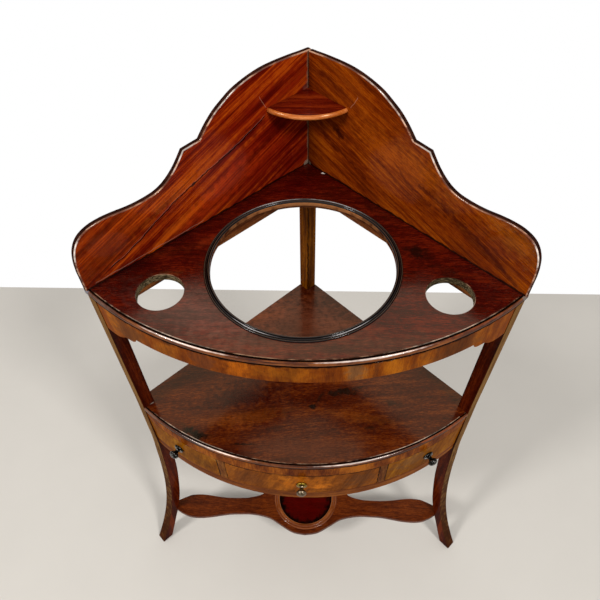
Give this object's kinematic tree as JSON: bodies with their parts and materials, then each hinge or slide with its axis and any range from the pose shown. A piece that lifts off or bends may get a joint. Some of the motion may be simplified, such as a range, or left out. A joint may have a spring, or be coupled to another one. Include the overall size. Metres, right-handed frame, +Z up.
{
  "type": "corner washstand",
  "caption": "Bow-fronted corner stand with shaped splash boards, a top pierced for a basin and tumblers, a shelf over a drawer, and sabre front legs.",
  "frame": {"origin": "on the floor under the middle of the rear post", "axes": "+Z up; the bowed front faces -Y; the two walls meet behind the rear post on x = 0 and run at 45 degrees to each side"},
  "size_m": [0.7732, 0.4675, 1.1191],
  "materials": {
    "top_mahogany": "polished",
    "splash_mahogany": "polished",
    "front_veneer": "polished",
    "leg_mahogany": "polished",
    "shelf_mahogany": "polished",
    "carcase_oak": "plain",
    "knob_brass": "aged",
    "nut_iron": "aged"
  },
  "bodies": {
    "stand": {"top_board": "top_mahogany", "basin_ring": "top_mahogany", "splash_board_left": "splash_mahogany", "splash_board_right": "splash_mahogany", "soap_shelf": "splash_mahogany", "top_apron": "front_veneer", "top_rail_left": "leg_mahogany", "top_rail_right": "leg_mahogany", "rail_glue_block_left": "carcase_oak", "rail_glue_block_right": "carcase_oak", "apron_glue_block_left": "carcase_oak", "apron_glue_block_right": "carcase_oak", "rear_post": "leg_mahogany", "front_leg_left": "leg_mahogany", "front_leg_right": "leg_mahogany", "shelf_board": "shelf_mahogany", "tier_top_rail": "front_veneer", "tier_bottom_rail": "front_veneer", "drawer_stile_left": "front_veneer", "drawer_stile_right": "front_veneer", "false_drawer_left": "front_veneer", "false_drawer_right": "front_veneer", "false_drawer_knob_left": "knob_brass", "false_drawer_knob_right": "knob_brass", "false_drawer_knob_left_nut": "nut_iron", "false_drawer_knob_right_nut": "nut_iron", "tier_wall_left": "carcase_oak", "tier_wall_right": "carcase_oak", "drawer_runner_left": "carcase_oak", "drawer_runner_right": "carcase_oak", "drawer_guide_left": "carcase_oak", "drawer_guide_right": "carcase_oak", "drawer_kicker_left": "carcase_oak", "drawer_kicker_right": "carcase_oak", "drawer_stop_left": "carcase_oak", "drawer_stop_right": "carcase_oak", "stretcher_platform": "leg_mahogany", "dish_rim": "front_veneer"},
    "drawer": {"drawer_front": "front_veneer", "drawer_side_left": "carcase_oak", "drawer_side_right": "carcase_oak", "drawer_bottom": "carcase_oak", "drawer_back": "carcase_oak", "drawer_knob": "knob_brass", "drawer_knob_nut": "nut_iron"}
  },
  "joints": [
    {"name": "drawer_slide", "type": "slide", "parent": "stand", "child": "drawer", "axis": [0, -1, 0], "range_m": [0, 0.16]}
  ]
}
